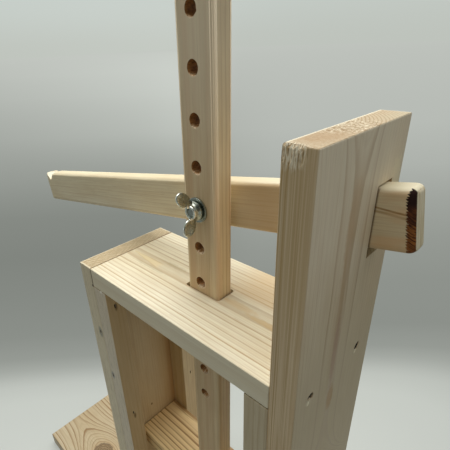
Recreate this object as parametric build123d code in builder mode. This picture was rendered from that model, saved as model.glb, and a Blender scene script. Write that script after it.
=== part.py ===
from build123d import *
from math import cos, radians, sin
import os

# Lever press for bookbinding, made of planed pine boards and laths.
# Millimetres, +Z up, +X along the top board towards the tall upright, -Y is the front.
# Origin: middle of the underside of the base board.

os.makedirs("parts", exist_ok=True)

# ---- boards of the frame ----
base_length = 400.0
base_width = 160.0
board = 18.0                 # thickness of the planed boards
board_width = 94.0           # width of panel, upright and top board
frame_height = 340.0         # base top to the top face of the top board
inner_length = 189.0         # clear length between panel and upright
upright_thickness = 17.0
upright_height = 475.0       # base top to the top of the upright
end_overhang = 148.0         # base end to the outer face of the left panel
front_overhang = 32.0        # base front edge to the front of the frame
board_edge = 0.7             # eased edges of the boards
batten = 18.0                # front corner laths, square
back_batten = 22.0           # width of the back laths along X
batten_gap = 0.6             # the laths stop short of the top board

# ---- ram: post and platen ----
post_width = 31.4
post_depth = 17.0
post_front = 39.3            # front of the post behind the frame's front
post_length = 500.0
post_round = 3.5
post_lean = 0.85             # degrees, the post leans in its slot
post_offset = 98.2           # post axis from the panel's inner face, at the top board
hole_d = 8.5
hole_pitch = 30.0
hole_offset = -1.3           # the row of holes is a little off the post's middle
holes_below = 6
holes_above = 6
bolt_hole_height = 69.0      # bolt hole above the top board
platen_top = 131.5
platen_front = 23.5          # platen front edge behind the frame's front
platen_width = 52.0
platen_side_gap = 0.8
slot_left = 2.9              # room around the post in the top board
slot_right = 1.4
slot_front = 0.5
slot_back = 1.3
slot_round = 2.5

# ---- lever ----
lever_height = 35.2
lever_thickness = 16.0
lever_round = 3.5
lever_end_round = 5.2        # upright edges of both ends
lever_tilt = 9.8             # degrees, the end in the upright is higher
lever_left = 311.0           # pivot to the free end
lever_right = 130.3          # pivot to the end beyond the upright
lever_below = 21.5           # pivot above the lever's lower edge
notch_from_end = 13.5
notch_width = 19.0
notch_depth = 8.0
pivot_clearance = 0.08
mortise_bottom = 60.3        # above the top board
mortise_height = 42.3
mortise_front_gap = 0.7
mortise_back_gap = 1.4

# ---- pivot bolt, washers, nuts ----
bolt_d = 6.0
bolt_length = 50.0
bolt_head_flats = 10.0
bolt_head_height = 4.0
washer_thickness = 1.6
washer_bore = 6.4
small_washer_d = 12.0
large_washer_d = 18.0
lock_nut_height = 5.0
wing_angle = 76.0            # degrees from -X, the wings stand steeply
wing_hub_foot_r = 7.0
wing_hub_top_r = 4.6
wing_hub_height = 6.2
wing_thickness = 2.6
wing_centre_r = 9.6
wing_centre_h = 9.2
wing_long_r = 6.8
wing_short_r = 5.2
wing_slant = 50.0
thread_clearance = 0.06

# ---- nails, brads and screws ----
brad_slot = 1.5
brad_slot_tall = 3.8
brad_sink = 1.2
brad_head = 0.8
brad_shank = 1.2
brad_length = 28.0
edge_brad_length = 14.0
brad_top_drop = 35.0         # brads of the laths, below the top board's face and above the base
brad_middle_drop = 173.0
brad_foot_rise = 42.0
panel_brad_drop = 72.0       # brads in the front edges, below the top board's face
batten_brad_drop = 123.0
edge_brad_inset = 4.0        # from the joint between panel and lath
nail_head_r = 1.7
nail_shank_r = 1.0
nail_sink = 1.5
nail_head = 1.2
nail_length = 42.0
screw_head_r = 3.6
screw_head_h = 2.2
screw_shank_r = 1.75
screw_tip = 4.0
screw_length = 45.0

# ---- places worked out from the sizes above ----
top_z = board + frame_height
panel_outer = -base_length / 2 + end_overhang
panel_inner = panel_outer + board
upright_inner = panel_inner + inner_length
upright_outer = upright_inner + upright_thickness
front_y = -base_width / 2 + front_overhang
back_y = front_y + board_width
middle_y = (front_y + back_y) / 2
post_front_y = front_y + post_front
lean = radians(post_lean)
tilt = radians(lever_tilt)
post_x = panel_inner + post_offset
post_back_y = post_front_y + post_depth
bolt_x = post_x + hole_offset * cos(lean) + bolt_hole_height * sin(lean)
bolt_z = top_z - hole_offset * sin(lean) + bolt_hole_height * cos(lean)
lock_washer_y = post_back_y
lock_nut_y = lock_washer_y + washer_thickness
lever_washer_y = lock_nut_y + lock_nut_height
lever_front_y = lever_washer_y + washer_thickness
lever_back_y = lever_front_y + lever_thickness
head_washer_y = lever_back_y
head_y = head_washer_y + washer_thickness
wing_washer_y = post_front_y - washer_thickness
mortise_front = lever_front_y - mortise_front_gap
mortise_back = lever_back_y + mortise_back_gap

# planes of the slanted pieces: x along or across the piece, y up, z towards the front
post_plane = Plane(origin=(post_x, post_back_y, top_z), x_dir=(cos(lean), 0, -sin(lean)), z_dir=(0, -1, 0))
lever_plane = Plane(origin=(bolt_x, lever_back_y, bolt_z), x_dir=(cos(tilt), 0, sin(tilt)), z_dir=(0, -1, 0))


def front_plane(x, y, z):
    """Plane that looks to the front, its x along +X and its y up."""
    return Plane(origin=(x, y, z), x_dir=(1, 0, 0), z_dir=(0, -1, 0))


def bolt_plane(y):
    return front_plane(bolt_x, y, bolt_z)


# ---- fastener shapes, used for the fastener and for its hole in the wood ----
def block(plane, wide, tall, depth, mode=Mode.ADD):
    with BuildSketch(plane) as outline:
        Rectangle(wide, tall)
    extrude(outline.sketch, amount=-depth, mode=mode)


def rod(plane, radius, depth, mode=Mode.ADD):
    with BuildSketch(plane) as outline:
        Circle(radius)
    extrude(outline.sketch, amount=-depth, mode=mode)


def brad(face, length=brad_length):
    block(face.offset(-brad_sink), brad_slot, brad_slot_tall, brad_head)
    block(face.offset(-brad_sink - brad_head), brad_shank, brad_shank, length)


def brad_hole(face, length=brad_length):
    block(face, brad_slot, brad_slot_tall, brad_sink + brad_head, Mode.SUBTRACT)
    block(face.offset(-brad_sink - brad_head), brad_shank, brad_shank, length, Mode.SUBTRACT)


def nail(face):
    rod(face.offset(-nail_sink), nail_head_r, nail_head)
    rod(face.offset(-nail_sink - nail_head), nail_shank_r, nail_length)


def nail_hole(face):
    rod(face, nail_head_r, nail_sink + nail_head, Mode.SUBTRACT)
    rod(face.offset(-nail_sink - nail_head), nail_shank_r, nail_length, Mode.SUBTRACT)


def screw(x, y, z, mode=Mode.ADD):
    """Countersunk screw driven upwards, its flat head level with z."""
    with BuildSketch(front_plane(x, y, z)) as outline:
        with BuildLine():
            Polyline(
                (0, 0),
                (screw_head_r, 0),
                (screw_shank_r, screw_head_h),
                (screw_shank_r, screw_length - screw_tip),
                (0, screw_length),
                close=True,
            )
        make_face()
    revolve(outline.sketch, axis=Axis((x, y, z), (0, 0, 1)), mode=mode)


# where the fasteners go
def face_x(x, y, z, side):
    """Plane on a face that looks along +X (side 1) or -X (side -1)."""
    return Plane(origin=(x, y, z), x_dir=(0, side, 0), z_dir=(side, 0, 0))


batten_widths = (batten, back_batten)
front_brad_y = front_y + 0.42 * batten
back_brad_y = back_y - 0.43 * batten
brad_levels = (top_z - brad_top_drop, top_z - brad_middle_drop, board + brad_foot_rise)
brad_rows = [(y, width, z) for y, width in zip((front_brad_y, back_brad_y), batten_widths) for z in brad_levels]
left_brads = [face_x(panel_inner + width, y, z, 1) for y, width, z in brad_rows]
right_brads = [face_x(upright_inner - width, y, z, -1) for y, width, z in brad_rows]
edge_brad_panel = front_plane(panel_inner - edge_brad_inset, front_y, top_z - panel_brad_drop)
edge_brad_batten = front_plane(panel_inner + edge_brad_inset, front_y, top_z - batten_brad_drop)
nail_z = top_z - board / 2
nail_ys = (middle_y - 0.31 * board_width, middle_y + 0.3 * board_width)
upright_nails = [face_x(upright_outer, y, nail_z, 1) for y in nail_ys]
panel_nails = [face_x(panel_outer, y, nail_z, -1) for y in nail_ys]
foot_ys = (front_y + 0.25 * board_width, back_y - 0.25 * board_width)
panel_foot_x = panel_outer + board / 2
upright_foot_x = upright_inner + upright_thickness / 2
platen_z = platen_top - board
platen_middle_y = front_y + platen_front + platen_width / 2
post_foot_x = post_x + (platen_top - top_z) * sin(lean)
post_middle_y = post_front_y + post_depth / 2
platen_screw_xs = (post_foot_x - 0.25 * post_width, post_foot_x + 0.25 * post_width)

# ---- base board ----
with BuildPart() as base_board:
    with BuildSketch(Plane.XY):
        Rectangle(base_length, base_width)
    extrude(amount=board)
    fillet(base_board.edges(), radius=board_edge)
    for y in foot_ys:
        screw(panel_foot_x, y, 0, Mode.SUBTRACT)
        screw(upright_foot_x, y, 0, Mode.SUBTRACT)

# ---- left side panel ----
with BuildPart() as left_panel:
    with BuildSketch(Plane.XY.offset(board)):
        with Locations((panel_outer + board / 2, middle_y)):
            Rectangle(board, board_width)
    extrude(amount=frame_height)
    fillet(left_panel.edges(), radius=board_edge)
    for place in left_brads:
        brad_hole(place)
    for place in panel_nails:
        nail_hole(place)
    brad_hole(edge_brad_panel, edge_brad_length)
    for y in foot_ys:
        screw(panel_foot_x, y, 0, Mode.SUBTRACT)

# ---- tall upright with the mortise for the lever ----
with BuildPart() as right_upright:
    with BuildSketch(Plane.XY.offset(board)):
        with Locations((upright_inner + upright_thickness / 2, middle_y)):
            Rectangle(upright_thickness, board_width)
    extrude(amount=upright_height)
    fillet(right_upright.edges(), radius=board_edge)
    with BuildSketch(Plane.YZ.offset(upright_inner)):
        with Locations(((mortise_front + mortise_back) / 2, top_z + mortise_bottom + mortise_height / 2)):
            Rectangle(mortise_back - mortise_front, mortise_height)
    extrude(amount=upright_thickness, mode=Mode.SUBTRACT)
    for place in right_brads:
        brad_hole(place)
    for place in upright_nails:
        nail_hole(place)
    for y in foot_ys:
        screw(upright_foot_x, y, 0, Mode.SUBTRACT)

# ---- top board with the slot that guides the post ----
slot_x0 = post_x - post_width / 2 - slot_left
slot_x1 = post_x + post_width / 2 + slot_right
slot_y0 = post_front_y - slot_front
slot_y1 = post_back_y + slot_back
with BuildPart() as top_board:
    with BuildSketch(Plane.XY.offset(top_z - board)):
        with Locations((panel_inner + inner_length / 2, middle_y)):
            Rectangle(inner_length, board_width)
    extrude(amount=board)
    fillet(top_board.edges(), radius=board_edge)
    with BuildSketch(Plane.XY.offset(top_z - board)):
        with Locations(((slot_x0 + slot_x1) / 2, (slot_y0 + slot_y1) / 2)):
            RectangleRounded(slot_x1 - slot_x0, slot_y1 - slot_y0, slot_round)
    extrude(amount=board, mode=Mode.SUBTRACT)
    for place in upright_nails:
        nail_hole(place)
    for place in panel_nails:
        nail_hole(place)


# ---- four corner laths that guide the platen ----
def corner_batten(x, y, width, holes, edge_holes=()):
    with BuildPart() as lath:
        with BuildSketch(Plane.XY.offset(board)):
            with Locations((x, y)):
                Rectangle(width, batten)
        extrude(amount=frame_height - board - batten_gap)
        fillet(lath.edges(), radius=board_edge)
        for hole in holes:
            brad_hole(hole)
        for hole in edge_holes:
            brad_hole(hole, edge_brad_length)
    return lath


batten_front_y = front_y + batten / 2
batten_back_y = back_y - batten / 2
front_left_x = panel_inner + batten / 2
front_right_x = upright_inner - batten / 2
back_left_x = panel_inner + back_batten / 2
back_right_x = upright_inner - back_batten / 2
batten_front_left = corner_batten(front_left_x, batten_front_y, batten, left_brads[:3], [edge_brad_batten])
batten_back_left = corner_batten(back_left_x, batten_back_y, back_batten, left_brads[3:])
batten_front_right = corner_batten(front_right_x, batten_front_y, batten, right_brads[:3])
batten_back_right = corner_batten(back_right_x, batten_back_y, back_batten, right_brads[3:])

# ---- platen: the board that presses on the books ----
with BuildPart() as platen:
    with BuildSketch(Plane.XY.offset(platen_z)):
        with Locations((panel_inner + inner_length / 2, platen_middle_y)):
            Rectangle(inner_length - 2 * platen_side_gap, platen_width)
    extrude(amount=board)
    fillet(platen.edges(), radius=board_edge)
    for x in platen_screw_xs:
        screw(x, post_middle_y, platen_z, Mode.SUBTRACT)

# ---- ram post: long rounded lath with a row of holes, its foot level on the platen ----
half = post_width / 2
foot_left = (platen_top - top_z - half * sin(lean)) / cos(lean)
foot_right = (platen_top - top_z + half * sin(lean)) / cos(lean)
post_head = foot_left + post_length
with BuildPart() as ram_post:
    with BuildSketch(post_plane):
        with BuildLine():
            Polyline((-half, foot_left), (half, foot_right), (half, post_head), (-half, post_head), close=True)
        make_face()
    extrude(amount=post_depth)
    long_edges = ram_post.edges().filter_by(Axis((0, 0, 0), (sin(lean), 0, cos(lean))))
    fillet(long_edges, radius=post_round)
    with BuildSketch(post_plane):
        for k in range(-holes_below, holes_above + 1):
            with Locations((hole_offset, bolt_hole_height + k * hole_pitch)):
                Circle(hole_d / 2)
    extrude(amount=post_depth, mode=Mode.SUBTRACT)
    for x in platen_screw_xs:
        screw(x, post_middle_y, platen_z, Mode.SUBTRACT)

# ---- lever: rounded lath, notched near the free end for the weight's cord ----
lever_top = lever_height - lever_below
notch_x = -lever_left + notch_from_end
lever_up = Axis((0, 0, 0), lever_plane.y_dir)
with BuildPart() as lever:
    with BuildSketch(lever_plane):
        with Locations(((lever_right - lever_left) / 2, (lever_top - lever_below) / 2)):
            Rectangle(lever_left + lever_right, lever_height)
    extrude(amount=lever_thickness)
    fillet(lever.edges().filter_by(lever_up), radius=lever_end_round)
    fillet(lever.faces().filter_by(lever_up).edges(), radius=lever_round)
    with BuildSketch(lever_plane):
        with BuildLine():
            Polyline(
                (notch_x - notch_width / 2 - 1, lever_top + 1),
                (notch_x - 1.5, lever_top - notch_depth),
                (notch_x + 1.5, lever_top - notch_depth),
                (notch_x + notch_width / 2 + 1, lever_top + 1),
                close=True,
            )
        make_face()
    extrude(amount=lever_thickness, mode=Mode.SUBTRACT)
    with BuildSketch(lever_plane):
        Circle(bolt_d / 2 + pivot_clearance)
    extrude(amount=lever_thickness, mode=Mode.SUBTRACT)

# ---- pivot bolt ----
with BuildPart() as pivot_bolt:
    with BuildSketch(bolt_plane(head_y + bolt_head_height)):
        RegularPolygon(bolt_head_flats / 2, 6, major_radius=False)
    extrude(amount=bolt_head_height)
    with BuildSketch(bolt_plane(head_y)):
        Circle(bolt_d / 2)
    extrude(amount=bolt_length)
    bolt_tip = pivot_bolt.faces().sort_by(Axis.Y)[0]
    chamfer(bolt_tip.edges(), length=0.7)


# ---- washers and lock nut on the bolt ----
def washer(y, diameter):
    with BuildPart() as ring:
        with BuildSketch(bolt_plane(y + washer_thickness)):
            Circle(diameter / 2)
            Circle(washer_bore / 2, mode=Mode.SUBTRACT)
        extrude(amount=washer_thickness)
        fillet(ring.edges().filter_by(GeomType.CIRCLE).group_by(SortBy.RADIUS)[-1], radius=0.3)
    return ring


lock_washer = washer(lock_washer_y, small_washer_d)
lever_washer = washer(lever_washer_y, small_washer_d)
head_washer = washer(head_washer_y, large_washer_d)
wing_washer = washer(wing_washer_y, large_washer_d)

with BuildPart() as lock_nut:
    with BuildSketch(bolt_plane(lock_nut_y + lock_nut_height)):
        RegularPolygon(bolt_head_flats / 2, 6, major_radius=False)
        Circle(bolt_d / 2, mode=Mode.SUBTRACT)
    extrude(amount=lock_nut_height)

# ---- wing nut: tapered hub and two oval wings that sweep forward ----
span = (-cos(radians(wing_angle)), 0, sin(radians(wing_angle)))
across = (sin(radians(wing_angle)), 0, cos(radians(wing_angle)))
wing_plane = Plane(origin=(bolt_x, wing_washer_y, bolt_z), x_dir=span, z_dir=across)
forward = 1 if wing_plane.y_dir.Y < 0 else -1
with BuildPart() as wing_nut:
    for side in (1, -1):
        with BuildSketch(wing_plane):
            with Locations((side * wing_centre_r, forward * wing_centre_h)):
                Ellipse(wing_long_r, wing_short_r, rotation=side * forward * wing_slant)
            with BuildLine():
                Polyline(
                    (side * 1.5, forward * 1.2),
                    (side * wing_hub_foot_r * 0.9, forward * 1.2),
                    (side * (wing_centre_r + 0.9 * wing_short_r), forward * (wing_centre_h - 2.2)),
                    (side * (wing_centre_r - 4.4), forward * (wing_centre_h + 2.2)),
                    (side * 1.5, forward * wing_hub_height * 0.9),
                    close=True,
                )
            make_face()
        extrude(amount=wing_thickness / 2, both=True)
    fillet(wing_nut.edges(), radius=0.9)
    with BuildSketch(wing_plane):
        with BuildLine():
            Polyline(
                (0, 0),
                (wing_hub_foot_r, 0),
                (wing_hub_foot_r, forward * 1.2),
                (wing_hub_foot_r - 0.7, forward * 1.9),
                (wing_hub_top_r, forward * (wing_hub_height - 0.5)),
                (wing_hub_top_r - 0.5, forward * wing_hub_height),
                (0, forward * wing_hub_height),
                close=True,
            )
        make_face()
    revolve(axis=Axis((bolt_x, 0, bolt_z), (0, 1, 0)))
    with BuildSketch(bolt_plane(wing_washer_y)):
        Circle(bolt_d / 2 + thread_clearance)
    extrude(amount=bolt_length, mode=Mode.SUBTRACT)

# ---- fasteners ----
with BuildPart() as brads_left:
    for place in left_brads:
        brad(place)
    brad(edge_brad_panel, edge_brad_length)
    brad(edge_brad_batten, edge_brad_length)

with BuildPart() as brads_right:
    for place in right_brads:
        brad(place)

with BuildPart() as nails_upright:
    for place in upright_nails:
        nail(place)

with BuildPart() as nails_panel:
    for place in panel_nails:
        nail(place)

with BuildPart() as base_screws:
    for y in foot_ys:
        screw(panel_foot_x, y, 0)
        screw(upright_foot_x, y, 0)

with BuildPart() as platen_screws:
    for x in platen_screw_xs:
        screw(x, post_middle_y, platen_z)

pieces = {
    "base_board": base_board,
    "left_panel": left_panel,
    "right_upright": right_upright,
    "top_board": top_board,
    "batten_front_left": batten_front_left,
    "batten_back_left": batten_back_left,
    "batten_front_right": batten_front_right,
    "batten_back_right": batten_back_right,
    "platen": platen,
    "ram_post": ram_post,
    "lever": lever,
    "pivot_bolt": pivot_bolt,
    "lock_washer": lock_washer,
    "lock_nut": lock_nut,
    "lever_washer": lever_washer,
    "head_washer": head_washer,
    "wing_washer": wing_washer,
    "wing_nut": wing_nut,
    "brads_left": brads_left,
    "brads_right": brads_right,
    "nails_upright": nails_upright,
    "nails_panel": nails_panel,
    "base_screws": base_screws,
    "platen_screws": platen_screws,
}
for name, piece in pieces.items():
    piece.part.label = name
    export_step(piece.part, f"parts/{name}.step")
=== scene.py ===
from math import cos, pi, radians, sin

import bmesh
import bpy
from mathutils import Matrix, Vector, noise


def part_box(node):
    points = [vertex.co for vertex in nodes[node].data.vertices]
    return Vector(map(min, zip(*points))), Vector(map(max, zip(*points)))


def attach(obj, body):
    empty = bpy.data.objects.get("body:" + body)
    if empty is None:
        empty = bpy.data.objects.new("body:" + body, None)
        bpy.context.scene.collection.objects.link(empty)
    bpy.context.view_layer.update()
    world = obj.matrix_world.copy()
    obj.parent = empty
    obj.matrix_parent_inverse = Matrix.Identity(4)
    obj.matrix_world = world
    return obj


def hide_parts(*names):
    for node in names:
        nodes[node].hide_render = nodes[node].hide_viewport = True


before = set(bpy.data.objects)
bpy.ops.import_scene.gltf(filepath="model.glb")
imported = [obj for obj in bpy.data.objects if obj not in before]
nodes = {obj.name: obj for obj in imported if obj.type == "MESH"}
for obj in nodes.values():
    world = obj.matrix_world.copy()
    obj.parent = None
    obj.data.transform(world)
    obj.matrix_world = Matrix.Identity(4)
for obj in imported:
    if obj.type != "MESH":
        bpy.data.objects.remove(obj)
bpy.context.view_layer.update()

scene = bpy.context.scene

MM = 0.001
ACROSS, UP, FRONT = (1, 0, 0), (0, 0, 1), (0, -1, 0)


def box_mm(name):
    """Lowest and highest corner of a CAD node, in millimetres."""
    return [[round(v / MM, 2) for v in corner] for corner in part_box(name)]


(UPRIGHT_LEFT, FRAME_FRONT, _), (UPRIGHT_RIGHT, FRAME_BACK, UPRIGHT_TOP) = box_mm("right_upright")
(TOP_LEFT, _, TOP_UNDER), (_, _, TOP_FACE) = box_mm("top_board")
PANEL_LEFT = box_mm("left_panel")[0][0]
BASE_TOP = box_mm("base_board")[1][2]
POST_FRONT = box_mm("ram_post")[0][1]
LEVER_FRONT = box_mm("lever")[0][1]
WASHER = 1.6                 # thickness of the washer under the wing nut
BOLT = Vector((63.918, 0.0, 427.009))
PITCH = 30.0                 # between the post's holes
BIT_RADIUS = 4.36            # of the rough tool that goes through the holes
DENT_PATCH = 16.0            # side of the patch worn round each nail
POST_LEAN = radians(0.85)
LEVER_TILT = radians(9.8)
LEVER_RIGHT = 130.3          # bolt to the lever's right end
LEVER_TOP = 13.7             # bolt to the lever's top
POST_UP = Vector((sin(POST_LEAN), 0, cos(POST_LEAN)))
POST_RIGHT = Vector((POST_UP.z, 0, -POST_UP.x))
LEVER_OUT = Vector((cos(LEVER_TILT), 0, sin(LEVER_TILT)))
LEVER_UP = Vector((-sin(LEVER_TILT), 0, cos(LEVER_TILT)))
CHAR_EDGE = 125.6            # bolt to the charred corner's left border
CHAR_DEPTH = 0.55
CHAR_TOP = 1.2               # the filed flat starts this far below the lever's top
WING_TURN = radians(76.0)    # of the wings from level
WING_ACROSS = Vector((sin(WING_TURN), 0, cos(WING_TURN)))
WING_SEAT = Vector((BOLT.x, POST_FRONT - WASHER, BOLT.z))

# ------------------------------------------------------------------ shader helpers


def srgb(*levels):
    """Colour from 0-255 display values."""
    linear = [((v / 255 + 0.055) / 1.055) ** 2.4 if v > 10 else v / 255 / 12.92 for v in levels]
    return (*linear, 1.0)


def scaled(colour, factor):
    """A colour with each channel multiplied."""
    return (*(c * f for c, f in zip(colour, factor)), 1.0)


class Graph:
    """Builds the node tree of a material or world: every call adds nodes and returns an output socket."""

    def __init__(self, owner):
        owner.use_nodes = True
        self.tree = owner.node_tree
        self.tree.nodes.clear()
        self.coords = self.node("ShaderNodeTexCoord").outputs
        self.normal = self.coords["Normal"]

    def node(self, kind, **settings):
        made = self.tree.nodes.new(kind)
        for key, value in settings.items():
            setattr(made, key, value)
        return made

    def feed(self, socket, value):
        if isinstance(value, bpy.types.NodeSocket):
            self.tree.links.new(value, socket)
        elif value is not None:
            socket.default_value = value

    def shader(self, kind, **values):
        """A shader node; the values name its sockets."""
        made = self.node("ShaderNode" + kind)
        for name, value in values.items():
            self.feed(made.inputs[name.replace("_", " ")], value)
        return made.outputs[0]

    def mix_shader(self, factor, a, b):
        made = self.node("ShaderNodeMixShader")
        for socket, value in zip(made.inputs, (factor, a, b)):
            self.feed(socket, value)
        return made.outputs[0]

    def show(self, shader, output="ShaderNodeOutputMaterial"):
        self.feed(self.node(output).inputs["Surface"], shader)

    def math(self, operation, a, b=None, c=None, clamp=False):
        made = self.node("ShaderNodeMath", operation=operation, use_clamp=clamp)
        for socket, value in zip(made.inputs, (a, b, c)):
            self.feed(socket, value)
        return made.outputs[0]

    def times(self, first, *others):
        for other in others:
            first = self.math("MULTIPLY", first, other)
        return first

    def most(self, first, *others):
        for other in others:
            first = self.math("MAXIMUM", first, other)
        return first

    def plus(self, a, b):
        return self.math("ADD", a, b)

    def minus(self, a, b):
        return self.math("SUBTRACT", a, b)

    def line(self, value, slope, start):
        """value * slope + start."""
        return self.math("MULTIPLY_ADD", value, slope, start)

    def power(self, value, exponent):
        return self.math("POWER", value, exponent)

    def absolute(self, value):
        return self.math("ABSOLUTE", value)

    def apart(self, a, b):
        """How far two numbers are from each other."""
        return self.absolute(self.minus(a, b))

    def vector(self, operation, a, b=None, scale=None):
        made = self.node("ShaderNodeVectorMath", operation=operation)
        self.feed(made.inputs[0], a)
        self.feed(made.inputs[1], b)
        if scale is not None:
            self.feed(made.inputs["Scale"], scale)
        return made.outputs["Value" if operation in ("LENGTH", "DOT_PRODUCT") else 0]

    def dot(self, a, axis):
        return self.vector("DOT_PRODUCT", a, tuple(axis))

    def split(self, vector):
        made = self.node("ShaderNodeSeparateXYZ")
        self.feed(made.inputs[0], vector)
        return list(made.outputs)

    def join(self, x, y, z):
        made = self.node("ShaderNodeCombineXYZ")
        for socket, value in zip(made.inputs, (x, y, z)):
            self.feed(socket, value)
        return made.outputs[0]

    def noise(self, place, scale=1.0, detail=2.0, rough=0.5, out="Fac"):
        """Smooth noise; the scale is one number or one for each axis."""
        if isinstance(scale, tuple):
            place = self.vector("MULTIPLY", place, scale)
            scale = 1.0
        made = self.node("ShaderNodeTexNoise")
        for name, value in (("Vector", place), ("Scale", scale), ("Detail", detail), ("Roughness", rough)):
            self.feed(made.inputs[name], value)
        return made.outputs[out]

    def noise_at(self, w, scale):
        """Noise of one number."""
        made = self.node("ShaderNodeTexNoise", noise_dimensions="1D")
        for name, value in (("W", w), ("Scale", scale), ("Detail", 0.0)):
            self.feed(made.inputs[name], value)
        return made.outputs["Fac"]

    def ramp(self, value, low, high, to_low=0.0, to_high=1.0, smooth=True):
        made = self.node("ShaderNodeMapRange", interpolation_type="SMOOTHSTEP" if smooth else "LINEAR")
        self.feed(made.inputs["Value"], value)
        for name, number in (("From Min", low), ("From Max", high), ("To Min", to_low), ("To Max", to_high)):
            self.feed(made.inputs[name], number)
        return made.outputs["Result"]

    def table(self, value, steps, interpolation="LINEAR"):
        """Colour that goes through (position, colour) steps."""
        made = self.node("ShaderNodeValToRGB")
        made.color_ramp.interpolation = interpolation
        elements = made.color_ramp.elements
        while len(elements) < len(steps):
            elements.new(0.5)
        for element, (position, colour) in zip(elements, steps):
            element.position = position
            element.color = colour
        self.feed(made.inputs[0], value)
        return made.outputs["Color"]

    def mix(self, factor, a, b):
        made = self.node("ShaderNodeMix", data_type="RGBA")
        for index, value in ((0, factor), (6, a), (7, b)):
            self.feed(made.inputs[index], value)
        return made.outputs[2]

    def paint(self, colour, levels, *shares):
        """The colour with a tint of 0-255 levels over it, as strong as all the shares multiplied."""
        return self.mix(self.times(*shares), colour, srgb(*levels))

    def bump(self, height, distance, strength):
        return self.shader("Bump", Strength=strength, Distance=distance, Height=height)

    def facing(self, axis, low=0.5, high=0.9):
        """1 where the surface looks along the axis."""
        return self.ramp(self.dot(self.normal, axis), low, high)

    def reach(self, centre, size, place=None):
        """Distance from the centre, 1 on an ellipsoid of that size."""
        offset = self.vector("SUBTRACT", self.place if place is None else place, tuple(centre))
        return self.vector("LENGTH", self.vector("DIVIDE", offset, size))

    def blob(self, centre, size, ragged, place=None):
        """Soft spot: 1 at its centre, 0 outside, with a wavy edge."""
        waves = self.noise(self.place if place is None else place, 0.35, 3.0)
        reach = self.plus(self.reach(centre, size, place), self.times(self.minus(waves, 0.5), ragged))
        return self.ramp(reach, 0.45, 1.0, 1.0, 0.0)


def new_material(name):
    """An empty material and its graph, where g.place is the point on the object in millimetres."""
    material = bpy.data.materials.new(name)
    g = Graph(material)
    g.place = g.vector("SCALE", g.coords["Object"], scale=1.0 / MM)
    return material, g


# ------------------------------------------------------------------ rough tools that wear the boards
def wave(*place):
    """Smooth noise between -1 and 1."""
    return noise.noise(Vector(place))


def add_object(name, data):
    made = bpy.data.objects.new(name, data)
    scene.collection.objects.link(made)
    return made


def object_from(name, verts, faces):
    """Object from points in millimetres, with all its faces looking outwards."""
    mesh = bpy.data.meshes.new(name)
    mesh.from_pydata([tuple(v * MM for v in vert) for vert in verts], [], faces)
    shell = bmesh.new()
    shell.from_mesh(mesh)
    bmesh.ops.recalc_face_normals(shell, faces=shell.faces)
    shell.to_mesh(mesh)
    shell.free()
    return add_object(name, mesh)


def tube_faces(rings, turns, first=0):
    """Faces of a tube of rings of points, closed at both ends."""
    faces = []
    for row in range(rings - 1):
        for i in range(turns):
            a, b = (first + row * turns + k for k in (i, (i + 1) % turns))
            faces.append((a, b, b + turns, a + turns))
    last = first + (rings - 1) * turns
    return faces + [tuple(range(first, first + turns)), tuple(reversed(range(last, last + turns)))]


def gouge(origin, across, down, inward, reach, step, depth):
    """Closed tool over a patch of a face: it enters the wood by depth(s, t) mm and clears it elsewhere."""
    clear = -3.0
    columns, rows = (int(r / step) + 1 for r in reach)
    verts, faces = [], []
    for layer in range(2):
        for j in range(rows):
            for i in range(columns):
                s, t = i * step, j * step
                sink = depth(s, t) if layer == 0 else clear
                verts.append(origin + across * s + down * t + inward * sink)
    per = columns * rows
    for j in range(rows - 1):
        for i in range(columns - 1):
            a = j * columns + i
            faces.append((a, a + 1, a + 1 + columns, a + columns))
            faces.append(tuple(per + k for k in (a, a + columns, a + 1 + columns, a + 1)))
    rim = list(range(columns)) + [j * columns + columns - 1 for j in range(1, rows)]
    rim += [(rows - 1) * columns + i for i in range(columns - 2, -1, -1)]
    rim += [j * columns for j in range(rows - 2, 0, -1)]
    for a, b in zip(rim, rim[1:] + rim[:1]):
        faces.append((a, b, per + b, per + a))
    return object_from("gouge", verts, faces)


def add_cut(piece, tool):
    cut = piece.modifiers.new("cut", "BOOLEAN")
    cut.operation = "DIFFERENCE"
    cut.solver = "EXACT"
    cut.object = tool


def bake(piece, tools):
    """Makes the piece's modifiers part of its mesh and removes the tools that they used."""
    graph = bpy.context.evaluated_depsgraph_get()
    mesh = bpy.data.meshes.new_from_object(piece.evaluated_get(graph))
    piece.modifiers.clear()
    piece.data = mesh
    for tool in tools:
        bpy.data.objects.remove(tool, do_unlink=True)


def worn_copy(name, body, tools):
    """The CAD board with the tools cut out of it, shown in the board's place."""
    piece = add_object("worn_" + name, nodes[name].data.copy())
    for tool in tools:
        add_cut(piece, tool)
    bake(piece, tools)
    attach(piece, body)
    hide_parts(name)
    return piece


def torn_corner(s, t):
    """Torn fibres at the upright's front top corner; s runs across the edge, t down from the top."""
    across = max(0.0, 1.0 - max(0.0, (s - 9.5) / 3.2) ** 2)
    length = 9.8 + 2.4 * wave(s * 0.9, 3.1, 0.0) + 1.2 * wave(s * 2.7, 8.0, 0.0)
    fall = max(0.0, 1.0 - t / length)
    grooves = 1.0 * wave(s * 0.85 + 4.0, t * 0.06, 1.0) + 0.5 * wave(s * 2.1, t * 0.1, 5.0)
    rim = 2.6 * max(0.0, 1.0 - t / 3.4) ** 1.6
    lumps = 0.35 * wave(s * 0.9, t * 0.7, 9.0)
    sink = fall ** 0.55 * (1.1 + 1.5 * grooves) + rim + lumps * fall
    return sink * across - (0.25 if fall <= 0 or across <= 0 else 0.0) - 0.12


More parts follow.
